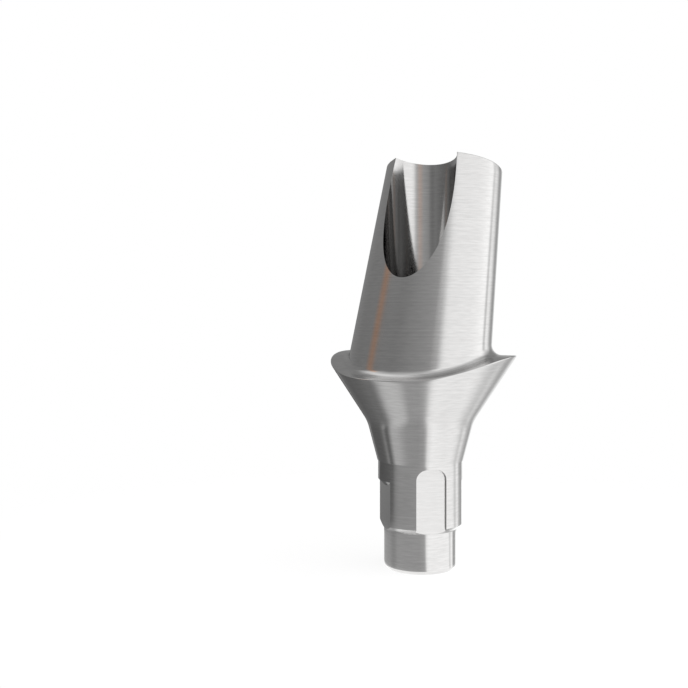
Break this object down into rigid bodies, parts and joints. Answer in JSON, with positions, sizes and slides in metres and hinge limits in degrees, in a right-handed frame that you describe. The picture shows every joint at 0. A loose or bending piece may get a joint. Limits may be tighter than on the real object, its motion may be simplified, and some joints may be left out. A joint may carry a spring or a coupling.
{
  "type": "dental implant abutment",
  "caption": "Angled implant abutment: a leaning oval post with its screw channel open on one side, above a ledge and flare, on a slotted round connection.",
  "frame": {"origin": "centre of the end face that enters the implant, on the implant axis", "axes": "+Z along the implant axis towards the post, +Y the way that the post leans, so the screw channel breaks out on -Y"},
  "size_m": [0.0062, 0.0058, 0.0133],
  "materials": {
    "titanium": "fine turned, satin"
  },
  "bodies": {
    "root": {"abutment": "titanium"}
  },
  "joints": []
}
